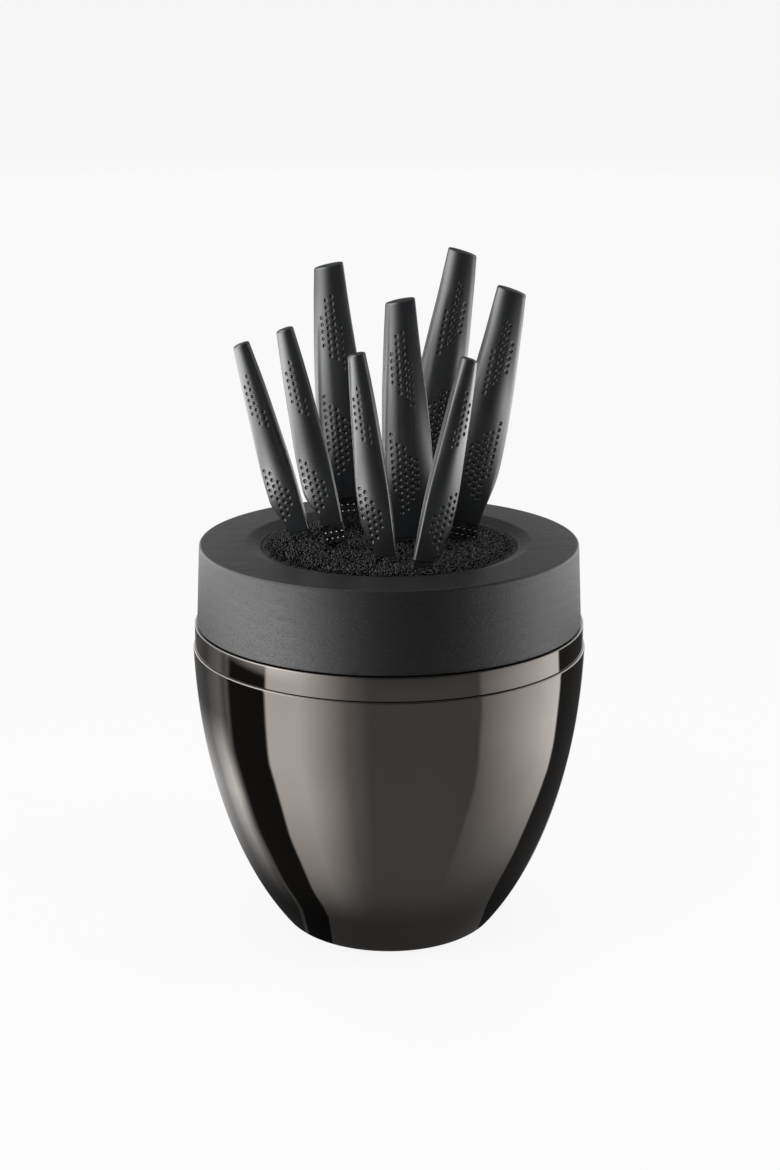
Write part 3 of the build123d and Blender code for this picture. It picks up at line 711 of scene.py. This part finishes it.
# a profile of (radius, level) turned about Z, its rows crowded towards the floor; each point glows by
# its bearing and its level
def makeScreen():
    level = np.linspace(0, 1, screen["rows"]) ** screen["crowding"] * screen["level"][-1] + screen["level"][0]
    row = {name: np.interp(level, screen["level"], screen[name])[:, None]
           for name in ("radius", "fade", "stripsLeft", "stripsRight", "outer", "narrowLeft", "narrowRight")}
    pattern = np.arange(-180, 180, screen["step"])
    onLeft = pattern < 0
    narrow = np.where(onLeft, row["narrowLeft"], row["narrowRight"])
    bearing = pattern * (narrow + (1 - narrow) * (pattern / 180) ** 2)
    low = np.interp(pattern, screen["bowlBearing"], screen["bowlGlow"])
    strips = np.where(onLeft, row["stripsLeft"], row["stripsRight"])
    low = np.where(low > screen["middle"], screen["middle"] + (low - screen["middle"]) * strips, low)
    outer = smoothStep(*screen["outerStarts"], pattern) * smoothStep(*screen["outerEnds"], pattern)
    low = low * (1 + (row["outer"] - 1) * outer)
    lamps = zip(screen["leftLamp"], screen["rightLamp"], screen["backGlow"])
    bands = screen["frontGlow"] + np.array([bell(left, -bearing) + bell(right, bearing)
                                            + back * (bearing / 180) ** 2 for left, right, back in lamps])
    place = np.interp(level, screen["upperLevel"], np.arange(len(bands)))
    below = np.minimum(place.astype(int), len(bands) - 2)
    share, at = (place - below)[:, None], np.arange(len(level))
    high = bands[below, at] * (1 - share) + bands[below + 1, at] * share
    part = smoothStep(*screen["change"], level)[:, None]
    glow = row["fade"] * (low * (1 - part) + high * part)
    finish, tree, shader = startFinish("lit studio screen", {
        "Roughness": 1.0, "Specular IOR Level": 0, "Base Color": (0, 0, 0, 1),
        "Emission Color": (1, 1, 1, 1)})
    strength = addNode(tree, "Attribute", attribute_name="glow")["Fac"]
    setInputs(tree, shader, {"Emission Strength": strength})
    # a bearing of 0 is the front, which is an angle of minus a quarter turn
    grid = turnAboutZ(row["radius"], level[:, None], np.radians(bearing) - np.pi / 2)
    index = np.arange(glow.size).reshape(glow.shape)
    cloth = addObject("studioScreen", grid.reshape(-1, 3), ringQuads(index).tolist(), finish)
    values = cloth.data.attributes.new("glow", "FLOAT", "POINT").data
    values.foreach_set("value", glow.astype(np.float32).ravel())
    cloth.visible_camera = cloth.visible_diffuse = cloth.visible_shadow = cloth.visible_transmission = False


# the floor is a flat disc, then a quarter ellipse up to the rim, turned about Z
def makeFloor():
    turn, flat = np.linspace(0, np.pi / 2, studio["rimSteps"]), studio["floorRings"]
    radius = np.concatenate([flat, studio["floorRadius"] + np.sin(turn)])[:, None]
    level = np.concatenate([np.zeros(len(flat)), studio["rimHeight"] * (1 - np.cos(turn))])[:, None]
    grid = turnAboutZ(radius, level, allRound(studio["floorSegments"]))
    index = np.arange(grid.size // 3).reshape(grid.shape[:2])
    finish, tree, shader = startFinish("painted board, matt pale grey", {
        "Roughness": 0.8, "IOR": 1.3, "Base Color": hexToLinear(studio["floor"]),
        "Emission Color": (1, 1, 1, 1)})
    # it glows where it is seen, mirrored or looked through, so that it stays pale
    rays = addNode(tree, "LightPath")
    either = addNode(tree, "Math", {0: rays["Is Camera Ray"], 1: rays["Is Glossy Ray"]},
                     operation="MAXIMUM")[0]
    seen = addNode(tree, "Math", {0: either, 1: rays["Is Transmission Ray"]}, operation="MAXIMUM")[0]
    strength = addNode(tree, "MapRange", {"Value": seen, "To Min": 0.0, "To Max": studio["floorGlow"]})[0]
    setInputs(tree, shader, {"Emission Strength": strength})
    faces = ringQuads(index).tolist() + [index[0].tolist()]
    addObject("studioFloor", grid.reshape(-1, 3), faces, finish)


# an even panel of radiance L and area A gives L A pi watts
def makeLamp(panel):
    lamp = bpy.data.lights.new(panel["name"], "AREA")
    lamp.shape = "RECTANGLE"
    lamp.size, lamp.size_y = panel["size"]
    lamp.energy = panel["radiance"] * lamp.size * lamp.size_y * math.pi
    holder = bpy.data.objects.new(panel["name"], lamp)
    bpy.context.scene.collection.objects.link(holder)
    bearing = math.radians(panel["bearing"])
    holder.location = (panel["away"] * math.sin(bearing), -panel["away"] * math.cos(bearing), panel["level"])
    holder.rotation_euler = (math.pi / 2, 0, bearing) if panel["away"] else (0, 0, 0)
    holder.visible_camera = holder.visible_glossy = False


makeFloor()
makeScreen()
for panel in studio["lamps"]:
    makeLamp(panel)
world = bpy.data.worlds.new("studio")
bpy.context.scene.world = world
world.use_nodes = True
fill = world.node_tree.nodes["Background"].inputs
fill["Color"].default_value = (1, 1, 1, 1)
fill["Strength"].default_value = studio["worldFill"]

# Camera at the photograph's height and pitch, with a lens for a frame of 780 by 1170, whose size this script
# leaves unset
camera = dict(at=(0.0005, -1.054, 0.4879), pitch=0.2721, lens=61.54, sensor=36.0)
lensData = bpy.data.cameras.new("photoCamera")
lensData.lens = camera["lens"]
lensData.sensor_width = camera["sensor"]
viewer = bpy.data.objects.new("photoCamera", lensData)
bpy.context.scene.collection.objects.link(viewer)
viewer.location = camera["at"]
viewer.rotation_euler = (math.pi / 2 - camera["pitch"], 0, 0)
bpy.context.scene.camera = viewer
bpy.context.scene.view_settings.view_transform = "Standard"
print("studio ready")
